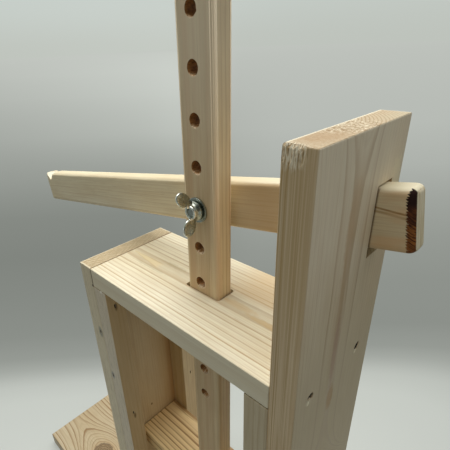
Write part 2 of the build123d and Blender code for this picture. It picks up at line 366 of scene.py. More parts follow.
def nail_dent(turn, half, seed):
    """Slanted slot with a torn rim, as a nail driven at an angle leaves it."""
    def depth(s, t):
        x, y = s - DENT_PATCH / 2, t - DENT_PATCH / 2
        along, aside = x * cos(turn) + y * sin(turn), y * cos(turn) - x * sin(turn)
        ragged = 1.0 + 0.35 * wave(x * 0.6, y * 0.6, seed)
        core = 1.0 - (along / 3.4) ** 2 - (aside / half) ** 2
        rim = ragged - ((along + 0.8) / 5.0) ** 2 - ((aside + 0.5) / 3.0) ** 2
        torn = 0.32 * max(0.0, rim) * (0.65 + 0.9 * wave(x * 1.7, y * 0.35, seed + 4.0))
        return max(2.2 * min(1.0, max(0.0, core * 1.6)), torn) - 0.06
    return depth


def build_upright():
    corner = Vector((UPRIGHT_LEFT - 1.0, FRAME_FRONT, UPRIGHT_TOP + 1.5))
    right, down, back = Vector(ACROSS), -Vector(UP), -Vector(FRONT)
    tools = [gouge(corner, right, down, back, (14.0, 18.5), 0.28, torn_corner)]
    for y, z, turn, half, seed in ((-32.0, 350.2, -0.14, 1.4, 1.0), (26.2, 347.6, -0.30, 3.0, 6.0)):
        start = Vector((UPRIGHT_RIGHT, y - DENT_PATCH / 2, z + DENT_PATCH / 2))
        dent = nail_dent(turn, half, seed)
        tools.append(gouge(start, back, down, -right, (DENT_PATCH, DENT_PATCH), 0.32, dent))
    return worn_copy("right_upright", "frame", tools)


def hole_radius(angle, depth, seed):
    """Radius of a rough hole, flared and torn where it breaks through the front."""
    side, rise = cos(angle), sin(angle)
    low = max(0.0, 0.45 - 0.9 * rise + 0.35 * side)
    mouth = (0.25 + 0.75 * low) * max(0.0, 1.0 - max(depth, 0.0) / (0.5 + 0.8 * low))
    tear = 0.55 * max(0.0, wave(side * 2.6, rise * 2.6, 3.7 * seed + 1.0)) + 0.25
    fuzz = 0.10 * wave(side * 4.0, rise * 4.0, depth * 1.5 + seed)
    return BIT_RADIUS + mouth * tear * 1.6 + fuzz * (depth < 16.0)


def build_post():
    """The post with rough walls and torn lips in its holes; one tool cuts them all."""
    verts, faces = [], []
    turns, depths = 40, (-1.0, 0.0, 0.15, 0.4, 0.8, 1.5, 3.0, 17.0, 18.0)
    for hole in [k for k in range(-6, 7) if k]:
        middle = BOLT + POST_UP * (PITCH * hole)
        faces += tube_faces(len(depths), turns, len(verts))
        for depth in depths:
            for i in range(turns):
                angle = 2 * pi * i / turns
                radius = hole_radius(angle, depth, hole)
                point = middle + POST_RIGHT * (radius * cos(angle)) + POST_UP * (radius * sin(angle))
                verts.append(Vector((point.x, POST_FRONT + depth, point.z)))
    return worn_copy("ram_post", "ram", [object_from("bits", verts, faces)])


def filed_corner(s, t):
    """Rough flat filed on the lever's end corner, with slanting tool marks."""
    marks = 0.06 * wave((s + 0.8 * t) * 1.5, (s - 0.8 * t) * 0.25, 2.0)
    start = CHAR_TOP + 0.8 * wave(s * 0.7, 1.0, 0.0)
    enter = min(1.0, max(0.0, (t - start) / 1.6))
    return CHAR_DEPTH * enter ** 0.5 + marks


def chewed_notch(s, t):
    """Splintered edge in front of the cord notch; s runs along the lever, t down from its top."""
    wide = 1.0 - ((s - 8.0 + 0.35 * t) / max(0.8, 5.5 - 0.62 * t)) ** 2
    sink = 2.4 * max(0.0, wide) * max(0.0, 1.0 - t / 8.5)
    fray = 0.25 * wave(s * 2.0, t * 2.0, 6.0) * (wide > 0)
    return sink * (0.75 + 0.5 * wave(s * 0.9, t * 0.9, 3.0)) + fray - 0.15


def build_lever():
    """The lever with its filed right end and the splintered notch at its left end."""
    top = BOLT + LEVER_UP * LEVER_TOP
    top.y = LEVER_FRONT
    back = -Vector(FRONT)
    slant = (LEVER_OUT + back).normalized()
    start = top + LEVER_OUT * LEVER_RIGHT - slant * 3.0
    filed = gouge(start, slant, -LEVER_UP, (back - LEVER_OUT).normalized(), (6.0, 38.0), 0.25, filed_corner)
    left = top - LEVER_OUT * 306.0
    chewed = gouge(left, LEVER_OUT, -LEVER_UP, back, (16.0, 10.0), 0.35, chewed_notch)
    return worn_copy("lever", "lever", [filed, chewed])


def lathe(name, middle, axis, profile, turns=48):
    """Solid of revolution from (radius, height) pairs, closed on the axis at both ends."""
    side = axis.orthogonal().normalized()
    other = axis.cross(side)
    verts = []
    for radius, height in profile:
        for i in range(turns):
            angle = 2 * pi * i / turns
            verts.append(middle + axis * height + (side * cos(angle) + other * sin(angle)) * radius)
    return object_from(name, verts, tube_faces(len(profile), turns))


def pebble(name, middle, axes, powers, rows=20, turns=40):
    """Rounded lump: an ellipsoid whose flatness is set by the powers."""
    long, short, thin = axes
    verts = []
    for j in range(rows + 1):
        lift = pi * (j + 0.001) / (rows + 0.002)
        ring = sin(lift) ** (2.0 / powers[1])
        height = (1 if cos(lift) > 0 else -1) * abs(cos(lift)) ** (2.0 / powers[0])
        for i in range(turns):
            angle = 2 * pi * i / turns
            verts.append(middle + long * (ring * cos(angle)) + short * (ring * sin(angle)) + thin * height)
    return object_from(name, verts, tube_faces(rows + 1, turns))


def build_wing_nut():
    """Cast wing nut: tapered hub with a bored front, two leaf wings with thick rims."""
    front = Vector(FRONT)
    span = Vector((-cos(WING_TURN), 0, sin(WING_TURN)))
    hub = ((5.5, 0.05), (5.6, 0.7), (6.9, 1.15), (7.0, 1.9),
           (6.2, 2.6), (5.35, 3.8), (5.05, 5.4), (4.75, 6.2))
    lumps = [lathe("hub", WING_SEAT, front, hub)]
    for side in (1, -1):
        for kind, turn, out, rise, (long, short, thin), powers in (
            ("leaf", radians(50.0), 9.6, 9.2, (6.6, 5.0, 1.15), (3.4, 3.4)),
            ("root", radians(42.0), 5.2, 4.9, (4.8, 3.1, 1.25), (3.0, 2.6)),
        ):
            middle = WING_SEAT + span * (side * out) + front * rise
            lean = span * side * cos(turn) + front * sin(turn)
            aside = span * side * -sin(turn) + front * cos(turn)
            lumps.append(pebble(kind, middle, (lean * long, aside * short, WING_ACROSS * thin), powers))
    joined = bmesh.new()
    for lump in lumps:
        joined.from_mesh(lump.data)
        bpy.data.objects.remove(lump, do_unlink=True)
    mesh = bpy.data.meshes.new("wing_nut_cast")
    joined.to_mesh(mesh)
    joined.free()
    piece = add_object("cast_wing_nut", mesh)
    melt = piece.modifiers.new("melt", "REMESH")
    melt.mode = "VOXEL"
    melt.voxel_size = 0.22 * MM
    soft = piece.modifiers.new("soft", "SMOOTH")
    soft.factor = 0.5
    soft.iterations = 7
    bore = lathe("bore", WING_SEAT, front, ((3.05, -1.0), (3.05, 4.7), (3.45, 5.5), (3.6, 6.3), (3.6, 7.5)))
    add_cut(piece, bore)
    bake(piece, [bore])
    piece.data.polygons.foreach_set("use_smooth", [True] * len(piece.data.polygons))
    piece.data.set_sharp_from_angle(angle=radians(38))
    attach(piece, "wing_nut")
    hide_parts("wing_nut")
    return piece


worn_upright = build_upright()
worn_post = build_post()
worn_lever = build_lever()
cast_wing_nut = build_wing_nut()

# ------------------------------------------------------------------ pine
EARLY = srgb(231, 216, 181)
LATE = srgb(184, 152, 106)
STAIN = srgb(221, 195, 148)
PALE = srgb(236, 225, 197)
FIBRE = srgb(182, 152, 108)
CANAL = srgb(158, 118, 74)
END_LIGHT = srgb(203, 189, 155)
END_DARK = srgb(160, 136, 96)
PORE_DARK = srgb(184, 148, 108)
PORE_PALE = srgb(242, 228, 198)


def ring_radius(g, v, w, moved, ring, wander, bow, knot):
    """Distance from the log's middle line, which strays slowly along the log."""
    stray = g.noise(moved, (0.006, 0.018, 0.018), rough=0.45, out="Color")
    stray = g.vector("SUBTRACT", stray, (0.5, 0.5, 0.5))
    _, stray_v, stray_w = g.split(g.vector("SCALE", stray, scale=2.0 * wander))
    radius = g.vector("LENGTH", g.join(0.0, g.plus(v, stray_v), g.plus(w, stray_w)))
    radius = g.plus(radius, g.line(g.noise(moved, (0.02, 0.25, 0.25)), ring * 0.30, -ring * 0.15))
    if bow:
        middle, half, rise = bow
        off = g.math("DIVIDE", g.apart(g.split(g.place)[2], middle), half)
        radius = g.minus(radius, g.times(g.power(off, 8.0), rise))
    if knot:
        centre, size, rise = knot
        off = g.reach(centre, size)
        radius = g.line(g.math("EXPONENT", g.times(off, off, -1.0)), -rise, radius)
    return radius


def ring_strength(g, radius, number, ring, seed, plan):
    """How dark each ring's latewood is: by chance, or planned in (radius, strength) steps."""
    if not plan:
        return g.ramp(g.noise_at(g.plus(number, seed * 7.3), 1.7), 0.3, 0.72, 0.35, 1.0)
    low, high = plan[0][0], plan[-1][0] + ring
    steps = [((start - low) / (high - low), (value, value, value, 1.0)) for start, value in plan]
    return g.table(g.ramp(radius, low, high, smooth=False), steps, "CONSTANT")


def pine(name, along, pith, ring=3.0, seed=0.0, late=0.7, wander=1.0, uneven=0.6, phase_shift=0.0,
         plan=None, bow=None, tone=(1, 1, 1), late_tone=(1, 1, 1), knot=None, marks=(), finish=None):
    """Pine cut from one log.

    along: unit vector of the grain; pith: a point on the log's middle line (mm)
    ring: width of a year ring (mm); late: how dark the latewood is; wander: how far rings stray (mm)
    uneven: how much ring widths vary
    plan: (radius, strength) steps, where the strengths aren't left to chance
    bow: (middle, half length, rise) makes the log thicker towards its ends
    knot: (centre, size, rise) lifts the rings round a knot
    marks: soft spots, each (centre, size, levels, share, raggedness)
    finish: function that changes the colour, and g.rough and g.height where it needs to
    """
    material, g = new_material(name)
    grain = Vector(along).normalized()
    side = Vector(UP) if abs(grain.z) < 0.7 else Vector(ACROSS)
    side = (side - grain * side.dot(grain)).normalized()
    from_pith = g.vector("SUBTRACT", g.place, pith)
    u, v, w = (g.dot(from_pith, axis) for axis in (grain, side, grain.cross(side)))
    g.local = g.join(u, v, w)
    moved = g.vector("ADD", g.local, (seed * 61.0, seed * 17.0, seed * 29.0))

    radius = ring_radius(g, v, w, moved, ring, wander, bow, knot)
    year = g.line(radius, 1.0 / ring, phase_shift)
    if uneven:
        year = g.plus(year, g.times(g.noise_at(year, 0.35), uneven))
    phase = g.math("FRACT", year)
    strength = ring_strength(g, radius, g.math("FLOOR", year), ring, seed, plan)
    late_wood = g.times(g.power(g.ramp(phase, 0.34, 0.92), 2.3), g.ramp(phase, 0.93, 1.0, 1.0, 0.0))
    false_ring = g.times(g.ramp(g.apart(phase, 0.42), 0.0, 0.12, 1.0, 0.0), 0.22)
    band = g.times(g.most(late_wood, false_ring), strength, late)

    # broad stains, rings, fibres and resin canals
    broad = g.noise(moved, (0.004, 0.02, 0.02), 3.0)
    mottle = g.noise(moved, (0.03, 0.10, 0.10))
    streaks = g.noise(moved, (0.012, 0.45, 0.45), 3.0, 0.6)
    hairs = g.noise(moved, (0.02, 0.85, 0.85), 1.0)
    g.fibres = g.noise(moved, (0.05, 1.9, 1.9), 4.0, 0.65)
    canals = g.ramp(g.noise(moved, (0.05, 1.2, 1.2), 1.0), 0.71, 0.77, 0.0, 0.30)
    colour = scaled(EARLY, tone)
    for share, tint in (
        (g.ramp(broad, 0.42, 0.68, 0.0, 0.35), scaled(STAIN, tone)),
        (g.ramp(broad, 0.50, 0.28, 0.0, 0.5), scaled(PALE, tone)),
        (g.ramp(streaks, 0.45, 0.75, 0.0, 0.30), scaled(STAIN, tone)),
        (g.ramp(mottle, 0.40, 0.70, 0.0, 0.12), scaled(FIBRE, tone)),
        (g.ramp(hairs, 0.46, 0.62, 0.0, 0.16), scaled(LATE, tone)),
        (band, scaled(scaled(LATE, late_tone), tone)),
        (g.ramp(g.fibres, 0.35, 0.75, 0.0, 0.16), scaled(FIBRE, tone)),
        (canals, CANAL),
    ):
        colour = g.mix(share, colour, tint)

    # end grain: darker, specked with pores
    end = g.ramp(g.absolute(g.dot(g.normal, grain)), 0.55, 0.9)
    pores = g.noise(moved, (0.66, 1.1, 1.1), 4.0, 0.7)
    end_colour = g.mix(late_wood, scaled(END_LIGHT, tone), scaled(END_DARK, tone))
    end_colour = g.mix(g.ramp(pores, 0.42, 0.62, 0.0, 0.45), end_colour, scaled(PORE_DARK, tone))
    end_colour = g.mix(g.ramp(pores, 0.42, 0.32, 0.0, 0.5), end_colour, scaled(PORE_PALE, tone))
    colour = g.mix(end, colour, end_colour)
    for centre, size, levels, share, ragged in marks:
        colour = g.paint(colour, levels, g.blob(centre, size, ragged), share)

    g.rough = g.line(end, 0.18, g.line(band, -0.10, g.line(g.fibres, 0.16, 0.46)))
    g.height = g.line(g.times(end, pores), 1.6, g.line(band, 0.35, g.times(g.fibres, 0.5)))
    if finish:
        colour = finish(g, colour)
    relief = g.bump(g.height, 0.00025, 0.45)
    g.show(g.shader("BsdfPrincipled", Base_Color=colour, Roughness=g.rough, IOR=1.45, Normal=relief))
    return material


# ------------------------------------------------------------------ metal
def metal(name, colour, rough, painted_highlight=None):
    """Plated metal with soft clouds and dark specks; the last argument says where a painted highlight makes
    it brighter and smoother.
    """
    material, g = new_material(name)
    cloud = g.noise(g.place, 0.35, 3.0)
    speck = g.noise(g.place, 1.7, 3.0)
    tint = g.mix(g.ramp(cloud, 0.35, 0.7, 0.0, 0.5), colour, scaled(colour, (0.72, 0.72, 0.72)))
    tint = g.mix(g.ramp(speck, 0.42, 0.62, 0.0, 0.35), tint, scaled(colour, (0.45, 0.45, 0.45)))
    dullness = g.line(cloud, 0.16, rough)
    if painted_highlight:
        highlight_share = painted_highlight(g)
        # painted highlight: near white, a little smoother
        tint = g.paint(tint, (244, 246, 240), highlight_share)
        dullness = g.line(highlight_share, -0.06, dullness)
    relief = g.bump(speck, 0.00012, 0.5)
    g.show(g.shader("BsdfPrincipled", Metallic=1.0, Base_Color=tint, Roughness=dullness, Normal=relief))
    return material


def rim_highlights(g):
    """Where the wing nut gets painted highlights: the wings' rims and the ring round the bore."""
    from_seat = g.vector("SUBTRACT", g.place, tuple(WING_SEAT))
    radius = g.vector("LENGTH", g.vector("MULTIPLY", from_seat, (1, 0, 1)))
    across = g.absolute(g.dot(g.normal, WING_ACROSS))
    rims = g.times(g.ramp(radius, 7.2, 8.4), g.ramp(across, 0.85, 0.45))
    ring = g.times(g.ramp(radius, 5.4, 4.9), g.ramp(g.dot(from_seat, FRONT), 5.2, 5.7))
    return g.most(rims, ring)


# ------------------------------------------------------------------ each board's own marks
def round_knot(g, colour):
    """Dark hard knot with its own small rings, in the base board's top."""
    radius = 12.5
    from_middle = g.reach((-118.5, -43.0, BASE_TOP), (1.15, 1.0, 3.0))
    reach = g.minus(g.line(g.noise(g.place, 0.22), 5.0, from_middle), 2.5)
    small_rings = g.ramp(g.math("FRACT", g.times(reach, 0.45)), 0.2, 0.95)
    wood = g.mix(small_rings, srgb(156, 130, 92), srgb(112, 88, 58))
    colour = g.paint(colour, (190, 152, 104), g.ramp(reach, radius, radius + 9.0, 0.3, 0.0))
    colour = g.mix(g.ramp(reach, radius - 1.2, radius + 0.6, 1.0, 0.0), colour, wood)
    return g.paint(colour, (84, 62, 38), g.ramp(g.apart(reach, radius), 0.0, 1.5, 0.7, 0.0))


def side_spot(g, y, z, width, rise, ragged, depth=3.0):
    """Soft spot on the upright's right face."""
    return g.blob((UPRIGHT_RIGHT, y, z), (depth, width, rise), ragged)


def upright_front(g, colour):
    """Front edge sawn across many tight rings."""
    x, _, z = g.split(g.place)
    edge = g.facing(FRONT)
    lines = g.noise(g.place, (1.35, 0.0, 0.006), 1.0)
    fine_lines = g.noise(g.join(g.times(x, 3.2), 4.0, g.times(z, 0.01)))
    stripes = g.line(g.ramp(fine_lines, 0.40, 0.68), 0.35, g.ramp(lines, 0.42, 0.62))
    colour = g.paint(colour, (172, 142, 92), edge, stripes, g.ramp(x, 171.5, 166.5, 0.275, 0.55))
    colour = g.paint(colour, (194, 164, 110), edge, g.ramp(z, 380.0, 440.0, 0.25, 0.47))
    # painted shade: the front edge darker towards the bottom
    return g.paint(colour, (160, 146, 112), edge, g.ramp(z, 330.0, 210.0, 0.0, 0.3))


def upright_top(g, colour):
    """Sawn top with a brown patch, a rough speckled one and a pale near edge."""
    x, y, _ = g.split(g.place)
    top = g.facing(UP, 0.6)
    specks = g.noise(g.place, (0.75, 0.95, 0.5), 3.0, 0.7)
    rough_patch = g.times(g.blob((160.5, -3.0, UPRIGHT_TOP), (17.0, 24.0, 4.0), 0.7), top)
    tan_patch = g.times(g.blob((161.0, -27.0, UPRIGHT_TOP), (13.0, 20.0, 4.0), 0.6), top)
    near_edge = g.most(g.ramp(x, 157.2, 155.8), g.ramp(y, 44.0, 45.6))
    g.height = g.line(g.times(rough_patch, specks), 3.0, g.height)
    colour = g.paint(colour, (182, 150, 112), tan_patch, 0.5)
    colour = g.paint(colour, (160, 120, 82), tan_patch, g.ramp(specks, 0.50, 0.40, 0.0, 0.35))
    colour = g.paint(colour, (136, 104, 64), rough_patch, g.ramp(specks, 0.50, 0.42, 0.0, 0.65))
    colour = g.paint(colour, (252, 243, 216), rough_patch, g.ramp(specks, 0.53, 0.60, 0.0, 0.85))
    colour = g.paint(colour, (170, 140, 96), top, 0.12)
    colour = g.paint(colour, (196, 188, 158), g.ramp(y, 8.0, 36.0), g.ramp(x, 160.0, 170.0), top, 0.45)
    return g.paint(colour, (248, 240, 214), near_edge, top, 0.8)


def upright_side(g, colour, splinters):
    """Right face: resin streaks, blushes, painted light towards the top and painted shade towards the
    bottom, a painted warm highlight near the lever's slot, and slots painted dark as shade with pale lips
    where the nails went in.
    """
    x, _, z = g.split(g.place)
    face = g.facing(ACROSS)
    sap = g.most(side_spot(g, -10.5, 444.0, 4.6, 34.0, 0.5), side_spot(g, -8.0, 463.0, 4.2, 13.0, 0.5),
                 g.times(side_spot(g, -11.0, 385.0, 5.5, 60.0, 0.6), 0.6))
    blush = g.noise(g.place, (0.02, 0.09, 0.02), 3.0)
    colour = g.paint(colour, (190, 146, 92), sap, face, 0.6)
    colour = g.paint(colour, (224, 200, 170), face, g.ramp(blush, 0.42, 0.62, 0.0, 0.26))
    # painted shade: the face darker towards the bottom
    colour = g.paint(colour, (172, 158, 122), face, g.ramp(z, 470.0, 330.0, 0.0, 0.62))
    for levels, share, spot in (
        ((150, 96, 68), 0.45, (-7.8, 366.0, 3.6, 36.0, 0.7)),
        ((164, 122, 54), 0.8, (-5.6, 327.0, 5.2, 14.0, 0.4)),
        # painted warm highlight near the lever's slot
        ((255, 236, 190), 0.6, (38.0, 459.0, 9.0, 17.0, 0.9)),
    ):
        colour = g.paint(colour, levels, side_spot(g, *spot), face, share)
    for y_lip, z_lip, width in ((-33.9, 346.4, 2.3), (24.4, 344.6, 1.7)):
        lip = side_spot(g, y_lip, z_lip, width, 2.6, 0.4, depth=2.0)
        colour = g.paint(colour, (255, 246, 216), lip, face, g.ramp(splinters, 0.40, 0.55), 0.9)
    # painted light: the face lighter towards the top
    colour = g.paint(colour, (254, 244, 220), face, g.ramp(z, 400.0, 480.0, 0.0, 0.35))
    # painted shade inside the nail slots
    slot_shade = g.most(g.blob((170.5, -31.6, 350.0), (3.0, 6.0, 5.0), 0.2),
                   g.blob((170.5, 26.4, 347.6), (3.0, 6.0, 6.0), 0.2))
    return g.paint(colour, (36, 28, 18), slot_shade, g.ramp(x, 171.6, 171.25))


def upright_finish(g, colour):
    """Sawn front edge, torn fibres at the top corner and round the nails, top and right face."""
    colour = upright_front(g, colour)
    splinters = g.noise(g.place, (1.6, 1.6, 0.16), 3.0)
    torn = g.times(g.blob((160.0, -47.0, 490.0), (9.0, 5.0, 10.0), 0.5), 0.9)
    torn = g.most(torn, side_spot(g, -35.0, 347.6, 3.2, 3.6, 0.7), side_spot(g, 23.8, 344.8, 3.2, 3.6, 0.7))
    # painted shade: dark clefts between the torn fibres
    colour = g.paint(colour, (110, 84, 48), torn, g.ramp(splinters, 0.46, 0.38, 0.0, 0.75))
    colour = g.paint(colour, (244, 234, 208), torn, g.ramp(splinters, 0.46, 0.60))
    return upright_side(g, upright_top(g, colour), splinters)


def hole_distance(g):
    """Distance from the nearest hole's axis, the way across and along the post, and 1 within the row."""
    from_bolt = g.vector("SUBTRACT", g.place, tuple(BOLT))
    along, across = g.dot(from_bolt, POST_UP), g.dot(from_bolt, POST_RIGHT)
    near = g.minus(g.math("MODULO", g.plus(along, 20.5 * PITCH), PITCH), PITCH / 2)
    in_row = g.ramp(g.absolute(along), 6.5 * PITCH, 6.4 * PITCH)
    return g.vector("LENGTH", g.join(across, near, 0.0)), across, near, in_row


def post_finish(g, colour):
    """Warm streaks down the faces, painted light towards the top, and in the holes red-brown walls with
    painted light on their lower right and painted shade on their upper left, and pale torn lips.
    """
    reach, across, near, in_row = hole_distance(g)
    z = g.split(g.place)[2]
    y_facing = g.absolute(g.dot(g.normal, FRONT))
    slant = g.minus(across, near)
    chatter = g.noise(g.place, (1.3, 0.25, 0.5), 3.0)
    # painted light and shade on the hole walls: shaded upper left, lit lower right
    shaded_wall = g.mix(g.ramp(chatter, 0.35, 0.65), srgb(128, 88, 46), srgb(176, 128, 74))
    lit_wall = g.mix(g.ramp(chatter, 0.40, 0.60), srgb(206, 154, 96), srgb(252, 222, 174))
    wall_light_and_shade = g.mix(g.ramp(slant, -2.0, 4.5), shaded_wall, lit_wall)
    wall = g.times(g.ramp(reach, 5.0, 4.6), g.ramp(y_facing, 0.85, 0.6))
    streak = g.ramp(g.noise(g.join(g.times(across, 0.16), 3.0, 0.0)), 0.3, 0.7)
    middle = g.ramp(g.apart(across, 1.0), 0.0, 5.0, 1.0, 0.0)
    rosy = g.noise(g.local, (0.004, 0.12, 0.12))
    colour = g.paint(colour, (186, 136, 88), streak, middle, y_facing, 0.34)
    colour = g.paint(colour, (204, 160, 116), g.ramp(rosy, 0.42, 0.66, 0.0, 0.35))
    # painted light: paler towards the top
    colour = g.paint(colour, (252, 243, 220), g.ramp(z, 430.0, 540.0, 0.0, 0.32))
    colour = g.mix(wall, colour, wall_light_and_shade)
    lip = g.times(g.ramp(reach, 6.0, 4.6), g.ramp(slant, -1.0, 4.0), in_row, g.ramp(chatter, 0.36, 0.56))
    return g.paint(colour, (240, 218, 184), lip, g.ramp(y_facing, 0.1, 0.4))


def char_share(g, along, up, back, to_end):
    """1 on the charred corner, whose left border is toothed and leans at the top."""
    teeth = g.noise(g.join(0.0, 0.0, g.times(up, 1.3)), rough=0.75)
    saw = g.math("FRACT", g.line(g.plus(up, along), 0.62, 40.0))
    top_turn = g.power(g.ramp(up, 8.5, 14.4, smooth=False), 2.0)
    edge = g.line(top_turn, 2.6, g.line(teeth, 3.0, CHAR_EDGE - 1.9))
    edge = g.line(saw, g.ramp(teeth, 0.35, 0.65, 0.5, 1.2), edge)
    past_edge = g.ramp(g.minus(along, edge), 0.0, 0.3)
    return g.times(past_edge, g.ramp(back, 3.4, 2.8), to_end, g.ramp(up, 14.6, 13.9))


def char_colour(g, up, scratches):
    """Scratched brown below, darker in the middle, black at the top."""
    brown = g.mix(g.ramp(scratches, 0.42, 0.58), srgb(70, 32, 10), srgb(160, 98, 44))
    middle = g.mix(g.ramp(scratches, 0.45, 0.62), srgb(66, 28, 10), srgb(100, 54, 22))
    burnt = g.mix(g.ramp(up, -9.0, -1.0), brown, middle)
    return g.paint(burnt, (44, 16, 6), g.ramp(g.line(scratches, 4.0, up), 4.5, 8.5))


def resin_streak(g, along, up):
    """Twin line of resin that slants down towards the right end."""
    middle = g.line(g.minus(along, 110.0), -0.20, 3.4)
    streak = g.most(g.ramp(g.apart(up, middle), 0.9, 0.2),
                    g.ramp(g.apart(g.plus(up, 1.9), middle), 1.3, 0.2, 0.0, 0.6))
    return g.times(streak, g.ramp(along, 88.0, 108.0), g.ramp(g.fibres, 0.30, 0.55, 0.6, 1.0))


def lever_finish(g, colour):
    """Charred filed corner and a resin streak at the right end, a painted highlight along the top,
    splintered pale notch at the left.
    """
    x = g.split(g.place)[0]
    from_bolt = g.vector("SUBTRACT", g.place, (BOLT.x, LEVER_FRONT, BOLT.z))
    along, up, back = g.dot(from_bolt, LEVER_OUT), g.dot(from_bolt, LEVER_UP), g.split(from_bolt)[1]
    front = g.facing(FRONT, 0.4, 0.8)
    rosy = g.ramp(g.noise(g.local, (0.03, 0.10, 0.10)), 0.35, 0.65, 0.15, 0.65)
    top_highlight = g.most(g.ramp(along, 100.0, 120.0), g.ramp(along, 4.0, 40.0, 0.0, 0.5))
    colour = g.paint(colour, (232, 188, 136), g.ramp(along, 100.0, 112.0), front, rosy)
    colour = g.paint(colour, (160, 112, 48), resin_streak(g, along, up), front, 0.8)
    # painted highlight on the lever's top, strongest at the right end
    colour = g.paint(colour, (255, 244, 212), g.facing(LEVER_UP, 0.35, 0.85), top_highlight, 0.8)

    # the painted shadow line where the lever leaves the upright, the end grain, and the warm middle
    colour = g.paint(colour, (110, 74, 34), g.ramp(x, 170.0, 171.0), g.ramp(x, 173.0, 172.2), front, 0.7)
    to_end = g.ramp(g.dot(g.normal, LEVER_OUT), 0.89, 0.83)
    end_face = g.times(g.ramp(to_end, 0.6, 0.0), g.ramp(along, 0.0, 1.0), 0.85)
    end_lines = g.noise(g.join(g.times(back, 0.8), 0.0, g.times(up, 0.03)))
    end_wood = g.mix(g.ramp(end_lines, 0.4, 0.62), srgb(246, 234, 204), srgb(218, 200, 160))
    colour = g.mix(end_face, colour, end_wood)
    middle = g.times(g.ramp(along, 4.0, 40.0), g.ramp(along, 110.0, 92.0))
    colour = g.paint(colour, (206, 164, 108), middle, front, 0.6)
    notch = g.blob((-298.0, 5.0, 13.0), (15.0, 16.0, 10.0), 0.3, g.join(along, back, up))
    colour = g.paint(colour, (250, 244, 222), notch, 0.75)

    scratch_at = g.join(g.times(g.plus(along, up), 1.15), g.times(g.minus(along, up), 0.10), 3.0)
    scratches = g.noise(scratch_at, rough=0.6)
    char = char_share(g, along, up, back, to_end)
    g.rough = g.line(char, 0.4, g.rough)
    g.height = g.line(g.times(char, scratches), 2.0, g.height)
    return g.mix(char, colour, char_colour(g, up, scratches))


def top_finish(g, colour):
    """Pointed yellow streak left of the post, soft darker patches beside it and a warm area behind."""
    x, y, _ = g.split(g.place)
    top = g.facing(UP)
    run = g.ramp(x, -31.0, 10.0, smooth=False)
    waves = g.noise(g.place, (0.10, 0.35, 0.0))
    off = g.plus(g.minus(y, g.line(run, -2.4, -2.4)), g.line(waves, 2.4, -1.2))
    reach = g.math("DIVIDE", g.absolute(off), g.line(run, 3.6, 0.5))
    tip = g.ramp(x, -31.0, -29.0)
    border = g.ramp(g.apart(reach, 1.0), 0.35, 0.05)
    inner = g.mix(run, srgb(222, 202, 148), srgb(236, 213, 165))
    wedge = g.times(g.ramp(reach, 1.15, 0.75), tip, g.ramp(x, 12.0, 3.0), top, 0.6)
    colour = g.mix(wedge, colour, inner)
    colour = g.paint(colour, (192, 160, 104), border, tip, g.ramp(x, 11.0, 4.0), top, 0.35)
    darker_patches = g.most(g.blob((2.0, -11.0, TOP_FACE), (30.0, 2.6, 2.0), 0.8),
                    g.blob((20.0, 3.4, TOP_FACE), (17.0, 3.4, 2.0), 0.9))
    colour = g.paint(colour, (176, 158, 116), darker_patches, 0.30)
    colour = g.paint(colour, (216, 180, 124), g.ramp(x, 55.0, 95.0), g.ramp(y, 2.0, 16.0), top, 0.55)
    return g.paint(colour, (228, 218, 190), g.facing(FRONT), 0.55)


def edge_streaks(g):
    """Short darker streaks along the grain of a sawn front edge."""
    return g.ramp(g.noise(g.place, (0.7, 1.0, 0.045), 4.0, 0.75), 0.47, 0.66, 0.0, 0.45)


def panel_finish(g, colour):
    """Slanting saw marks on the sawn top, a pale crushed rim, and a dark line beside the top board."""
    x, y, z = g.split(g.place)
    top, front, inside = g.facing(UP, 0.6), g.facing(FRONT, 0.5, 0.8), g.facing(ACROSS)
    saw_at = g.join(g.times(g.line(y, 0.55, x), 0.55), g.times(g.line(x, -0.55, y), 0.07), 2.0)
    saw = g.noise(saw_at, detail=3.0, rough=0.65)
    rim = g.most(g.ramp(x, PANEL_LEFT + 1.8, PANEL_LEFT + 0.4),
                 g.ramp(y, FRAME_FRONT + 2.2, FRAME_FRONT + 0.6),
                 g.ramp(y, FRAME_BACK - 2.2, FRAME_BACK - 0.6))
    colour = g.paint(colour, (160, 140, 106), top, g.ramp(saw, 0.40, 0.62, 0.0, 0.45))
    colour = g.paint(colour, (238, 228, 200), rim, top, 0.7)
    colour = g.paint(colour, (224, 216, 190), front, 0.5)
    colour = g.paint(colour, (148, 136, 104), front, edge_streaks(g))
    colour = g.paint(colour, (214, 170, 104), inside, g.ramp(y, -30.0, 30.0, 0.20, 0.42))
    # painted shade, dark and warm, on the inside face towards the back lath
    colour = g.paint(colour, (168, 108, 40), inside, g.ramp(y, 18.0, 32.0), 0.55)
    joint = g.times(g.ramp(z, TOP_UNDER - 0.6, TOP_UNDER + 0.2),
                    g.ramp(x, TOP_LEFT - 0.95, TOP_LEFT - 0.45))
    hook = g.blob((-35.2, -48.0, 340.2), (1.9, 2.0, 1.6), 0.3)
    return g.paint(colour, (64, 44, 24), g.most(joint, hook), g.most(top, front), 0.95)


def lath_finish(g, colour):
    """Front edge painted greyer for the cool light it gets, and rougher; sides painted browner for their
    warm shade, with a painted highlight as a pale front rim.
    """
    y = g.split(g.place)[1]
    at_front = g.ramp(y, 0.0, -5.0)
    front, side = g.facing(FRONT), g.facing(ACROSS)
    # painted light: the front edge greyer, for the cool light it gets
    colour = g.paint(colour, (226, 220, 206), front, at_front, 0.5)
    colour = g.paint(colour, (148, 136, 106), front, edge_streaks(g))
    # painted highlight: pale rim along the sides' front edge
    colour = g.paint(colour, (232, 206, 158), g.ramp(y, -31.2, -30.3), side, at_front, 0.5)
    # painted shade: the sides browner near the front
    return g.paint(colour, (196, 160, 106), side, at_front, 0.4)


